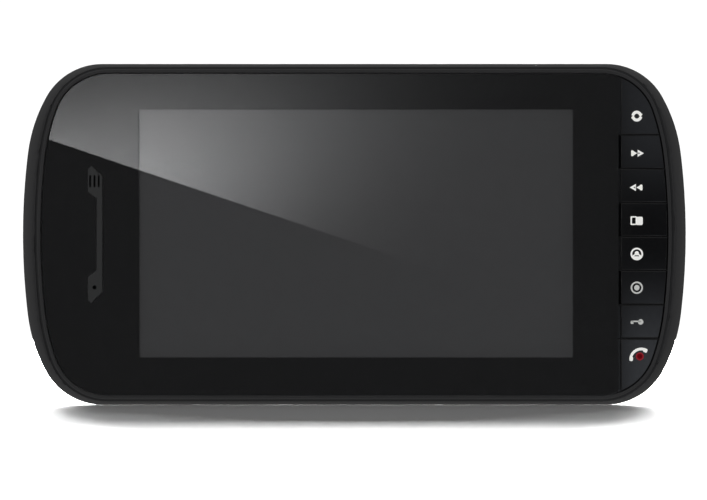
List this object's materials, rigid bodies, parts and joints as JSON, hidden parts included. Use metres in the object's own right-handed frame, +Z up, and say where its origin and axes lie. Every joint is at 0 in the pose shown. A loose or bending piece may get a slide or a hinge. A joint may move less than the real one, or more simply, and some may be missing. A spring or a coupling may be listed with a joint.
{
  "type": "video intercom monitor",
  "caption": "Wall-mounted video intercom monitor with rounded ends, a glossy panel over its display, a handset-shaped inlay and a column of push buttons, hung on a steel bracket.",
  "frame": {"origin": "on the wall plane, at the centre of the wall bracket's four screw holes", "axes": "+Z up, +X to the viewer's right along the housing's length, +Y into the wall, so the front faces -Y"},
  "size_m": [0.233, 0.0255, 0.1198],
  "materials": {
    "satin_abs": "satin moulded ABS, near black",
    "textured_abs": "fine spark-textured ABS, near black",
    "acrylic_lens": "clear polished acrylic",
    "panel_print": "black ink behind the lens",
    "satin_inlay": "satin moulded ABS",
    "gloss_key": "polished black ABS",
    "switch_plastic": "glass-filled nylon",
    "circuit_board": "green solder mask on glass epoxy",
    "zinc_steel": "zinc plated steel",
    "polyimide_flex": "amber polyimide film",
    "socket_nylon": "natural nylon",
    "tinned_pins": "tinned brass",
    "foam": "black closed-cell foam",
    "stamped_steel": "galvanised sheet steel",
    "display_glass": "unlit liquid-crystal cell under its polariser",
    "backlight_sheet": "white diffuser and frame",
    "chip_epoxy": "moulded epoxy",
    "can_aluminium": "drawn aluminium",
    "ferrite": "sintered ferrite",
    "cone_paper": "coated paper",
    "black_rubber": "soft black rubber"
  },
  "bodies": {
    "bracket": {"wall_bracket": "stamped_steel"},
    "monitor": {"board_capacitors": "can_aluminium", "board_chips": "chip_epoxy", "board_coils": "ferrite", "board_screws": "zinc_steel", "case_screws": "zinc_steel", "chassis_plate": "stamped_steel", "chassis_screws": "zinc_steel", "display_backlight": "backlight_sheet", "display_cell": "display_glass", "display_gasket": "foam", "display_surround": "stamped_steel", "display_tail": "polyimide_flex", "front_bezel": "satin_abs", "front_lens": "acrylic_lens", "handset_inlay": "satin_inlay", "header_pins": "tinned_pins", "header_shrouds": "socket_nylon", "key_board": "circuit_board", "key_board_screws": "zinc_steel", "key_ribbon": "polyimide_flex", "lens_print": "panel_print", "main_board": "circuit_board", "mic_grommet": "black_rubber", "mic_lead": "black_rubber", "microphone": "can_aluminium", "rear_cover": "textured_abs", "ribbon_sockets": "socket_nylon", "speaker_basket": "switch_plastic", "speaker_cone": "cone_paper", "speaker_gasket": "foam", "speaker_lead": "black_rubber", "speaker_magnet": "ferrite", "tact_switches": "switch_plastic"},
    "key_swap": {"key_cap_swap": "gloss_key", "switch_plunger_swap": "switch_plastic"},
    "key_next": {"key_cap_next": "gloss_key", "switch_plunger_next": "switch_plastic"},
    "key_previous": {"key_cap_previous": "gloss_key", "switch_plunger_previous": "switch_plastic"},
    "key_pictures": {"key_cap_pictures": "gloss_key", "switch_plunger_pictures": "switch_plastic"},
    "key_record": {"key_cap_record": "gloss_key", "switch_plunger_record": "switch_plastic"},
    "key_view": {"key_cap_view": "gloss_key", "switch_plunger_view": "switch_plastic"},
    "key_unlock": {"key_cap_unlock": "gloss_key", "switch_plunger_unlock": "switch_plastic"},
    "key_talk": {"key_cap_talk": "gloss_key", "switch_plunger_talk": "switch_plastic"}
  },
  "joints": [
    {"name": "lift_off", "type": "slide", "parent": "bracket", "child": "monitor", "axis": [0, 0, 1], "range_m": [0, 0.007]},
    {"name": "swap_press", "type": "slide", "parent": "monitor", "child": "key_swap", "axis": [0, 1, 0], "range_m": [0, 0.0005], "stiffness_N_per_m": 1500, "springref_m": -0.0003},
    {"name": "next_press", "type": "slide", "parent": "monitor", "child": "key_next", "axis": [0, 1, 0], "range_m": [0, 0.0005], "stiffness_N_per_m": 1500, "springref_m": -0.0003},
    {"name": "previous_press", "type": "slide", "parent": "monitor", "child": "key_previous", "axis": [0, 1, 0], "range_m": [0, 0.0005], "stiffness_N_per_m": 1500, "springref_m": -0.0003},
    {"name": "pictures_press", "type": "slide", "parent": "monitor", "child": "key_pictures", "axis": [0, 1, 0], "range_m": [0, 0.0005], "stiffness_N_per_m": 1500, "springref_m": -0.0003},
    {"name": "record_press", "type": "slide", "parent": "monitor", "child": "key_record", "axis": [0, 1, 0], "range_m": [0, 0.0005], "stiffness_N_per_m": 1500, "springref_m": -0.0003},
    {"name": "view_press", "type": "slide", "parent": "monitor", "child": "key_view", "axis": [0, 1, 0], "range_m": [0, 0.0005], "stiffness_N_per_m": 1500, "springref_m": -0.0003},
    {"name": "unlock_press", "type": "slide", "parent": "monitor", "child": "key_unlock", "axis": [0, 1, 0], "range_m": [0, 0.0005], "stiffness_N_per_m": 1500, "springref_m": -0.0003},
    {"name": "talk_press", "type": "slide", "parent": "monitor", "child": "key_talk", "axis": [0, 1, 0], "range_m": [0, 0.0005], "stiffness_N_per_m": 1500, "springref_m": -0.0003}
  ]
}
